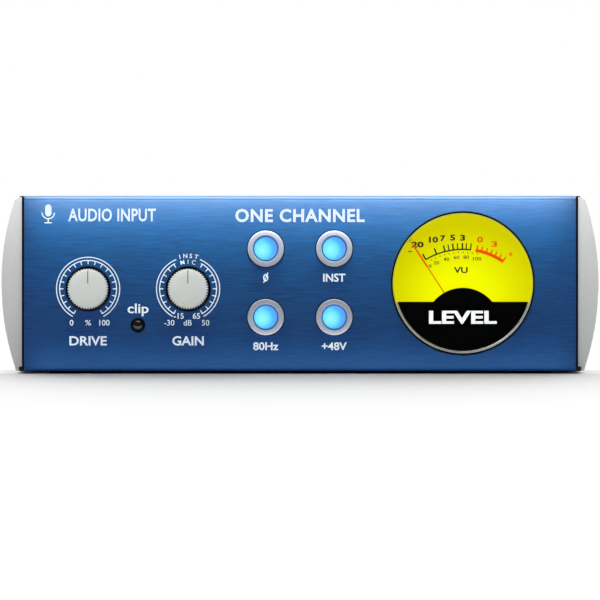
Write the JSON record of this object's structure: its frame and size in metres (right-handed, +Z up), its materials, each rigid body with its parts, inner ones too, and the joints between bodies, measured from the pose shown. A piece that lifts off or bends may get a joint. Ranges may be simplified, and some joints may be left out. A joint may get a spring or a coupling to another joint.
{
  "type": "microphone preamp",
  "caption": "Tube microphone preamp in a low desktop case with curved end cheeks, two knobs, lit push buttons and a round level meter.",
  "frame": {"origin": "centre of the whole unit's footprint, on the surface that its feet stand on", "axes": "+Z up, the front panel faces -Y, +X to the right seen from the front"},
  "size_m": [0.15, 0.1554, 0.0446],
  "materials": {
    "panel_blue": "horizontally brushed, blue anodised",
    "case_paint": "fine satin black powder coat",
    "cheek_silver": "satin silver-grey paint on plastic",
    "knob_silver": "satin metallic paint, knurled",
    "button_silver": "satin metallic paint",
    "button_glow": "clear blue lens, lit from behind",
    "black_plastic": "moulded, fine grain",
    "gloss_black": "polished",
    "rubber": "moulded, matt",
    "zinc_steel": "zinc plated",
    "nickel": "bright nickel plate",
    "clear_lens": "clear polished acrylic",
    "dial_yellow": "translucent, lit from behind",
    "pointer_red": "painted",
    "white_plastic": "moulded",
    "copper": "enamelled winding wire",
    "board_green": "solder mask over glass fibre",
    "led_dark": "tinted lens, unlit",
    "tube_glass": "clear blown glass",
    "ceramic": "unglazed ceramic",
    "ribbon_grey": "flat insulated cable"
  },
  "bodies": {
    "case": {"front_panel": "panel_blue", "bottom_chassis": "case_paint", "top_cover": "case_paint", "rear_panel": "case_paint", "left_cheek": "cheek_silver", "right_cheek": "cheek_silver", "foot_front_left": "rubber", "foot_front_right": "rubber", "foot_rear_left": "rubber", "foot_rear_right": "rubber", "rear_screw_upper_left": "zinc_steel", "rear_screw_upper_right": "zinc_steel", "rear_screw_lower_left": "zinc_steel", "rear_screw_lower_right": "zinc_steel", "drive_pot_body": "zinc_steel", "gain_pot_body": "zinc_steel", "phase_switch_body": "black_plastic", "instrument_switch_body": "black_plastic", "low_cut_switch_body": "black_plastic", "phantom_switch_body": "black_plastic", "clip_led_holder": "black_plastic", "clip_led": "led_dark", "control_board": "board_green", "meter_lens": "clear_lens", "meter_case": "white_plastic", "meter_dial": "dial_yellow", "meter_mask": "gloss_black", "meter_magnet": "zinc_steel", "main_board": "board_green", "tube_envelope": "tube_glass", "tube_electrodes": "zinc_steel", "tube_socket": "ceramic", "filter_capacitor_left": "black_plastic", "filter_capacitor_right": "black_plastic", "heat_sink": "zinc_steel", "ribbon_cable": "ribbon_grey", "mic_xlr_shell": "black_plastic", "mic_xlr_core": "black_plastic", "line_xlr_shell": "black_plastic", "line_xlr_pins": "nickel", "instrument_jack": "black_plastic", "line_jack": "black_plastic", "power_inlet": "black_plastic", "power_switch_frame": "black_plastic"},
    "drive_control": {"drive_knob": "knob_silver", "drive_pot_shaft": "nickel"},
    "gain_control": {"gain_knob": "knob_silver", "gain_pot_shaft": "nickel"},
    "phase_button": {"phase_button_cap": "button_silver", "phase_button_lens": "button_glow"},
    "instrument_button": {"instrument_button_cap": "button_silver", "instrument_button_lens": "button_glow"},
    "low_cut_button": {"low_cut_button_cap": "button_silver", "low_cut_button_lens": "button_glow"},
    "phantom_button": {"phantom_button_cap": "button_silver", "phantom_button_lens": "button_glow"},
    "needle": {"meter_pointer": "pointer_red", "meter_coil": "copper"},
    "rocker": {"power_rocker": "black_plastic"},
    "latch": {"mic_xlr_latch": "nickel"}
  },
  "joints": [
    {"name": "drive_turn", "type": "hinge", "parent": "case", "child": "drive_control", "pos_m": [-0.0532, -0.06675, 0.0213], "axis": [0, 1, 0], "range_deg": [-150, 150]},
    {"name": "gain_turn", "type": "hinge", "parent": "case", "child": "gain_control", "pos_m": [-0.0281, -0.06675, 0.0213], "axis": [0, 1, 0], "range_deg": [-150, 150]},
    {"name": "phase_press", "type": "slide", "parent": "case", "child": "phase_button", "axis": [0, 1, 0], "range_m": [0, 0.0018], "stiffness_N_per_m": 500, "springref_m": -0.001},
    {"name": "instrument_press", "type": "slide", "parent": "case", "child": "instrument_button", "axis": [0, 1, 0], "range_m": [0, 0.0018], "stiffness_N_per_m": 500, "springref_m": -0.001},
    {"name": "low_cut_press", "type": "slide", "parent": "case", "child": "low_cut_button", "axis": [0, 1, 0], "range_m": [0, 0.0018], "stiffness_N_per_m": 500, "springref_m": -0.001},
    {"name": "phantom_press", "type": "slide", "parent": "case", "child": "phantom_button", "axis": [0, 1, 0], "range_m": [0, 0.0018], "stiffness_N_per_m": 500, "springref_m": -0.001},
    {"name": "needle_swing", "type": "hinge", "parent": "case", "child": "needle", "pos_m": [0.0409, -0.06275, 0.0131], "axis": [0, 1, 0], "range_deg": [0, 68], "stiffness_Nm_per_rad": 0.001, "springref_deg": -5.73},
    {"name": "power_rock", "type": "hinge", "parent": "case", "child": "rocker", "pos_m": [0.057, 0.07075, 0.0246], "axis": [-1, 0, 0], "range_deg": [0, 14]},
    {"name": "latch_press", "type": "slide", "parent": "case", "child": "latch", "axis": [0, -1, 0], "range_m": [0, 0.0014], "stiffness_N_per_m": 600, "springref_m": -0.001}
  ]
}
